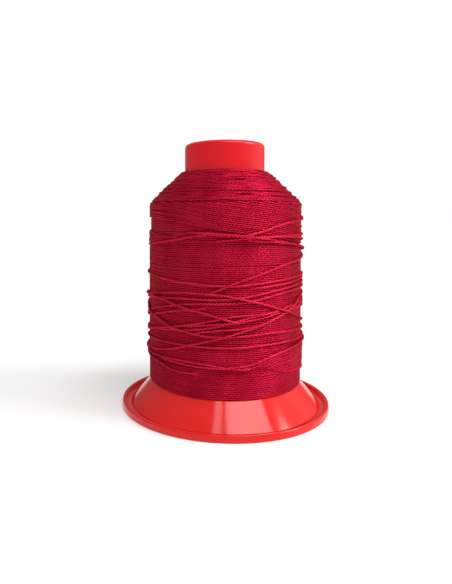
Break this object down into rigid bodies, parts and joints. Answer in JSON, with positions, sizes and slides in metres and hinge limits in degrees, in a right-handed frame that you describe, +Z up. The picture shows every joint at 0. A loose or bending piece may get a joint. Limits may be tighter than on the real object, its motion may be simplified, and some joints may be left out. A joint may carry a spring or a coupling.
{
  "type": "spool of thread",
  "caption": "Large sewing spool: a tube on a conical skirt with a push-fit lipped base ring, wound with thick twisted thread that tapers at the shoulder.",
  "frame": {"origin": "centre of the base ring's underside, on the surface the spool stands on", "axes": "+Z up along the spool's axis; -Y is the front"},
  "size_m": [0.072, 0.072, 0.0912],
  "materials": {
    "base_plastic": "moulded red plastic, smooth, softly glossy",
    "body_plastic": "moulded red plastic, smooth, satin gloss",
    "thread": "crimson bonded three-ply thread, silky sheen"
  },
  "bodies": {
    "base": {"base_ring": "base_plastic"},
    "spool": {"spool_body": "body_plastic", "winding_core": "thread", "winding_lower": "thread", "winding_middle": "thread", "winding_upper": "thread", "winding_shoulder": "thread", "crossing_wrap_1": "thread", "crossing_wrap_2": "thread", "crossing_wrap_3": "thread", "crossing_wrap_4": "thread", "crossing_wrap_5": "thread", "crossing_wrap_6": "thread", "crossing_wrap_7": "thread", "crossing_wrap_8": "thread"}
  },
  "joints": [
    {"name": "ring_snap", "type": "slide", "parent": "base", "child": "spool", "axis": [0, 0, 1], "range_m": [0, 0.003]}
  ]
}
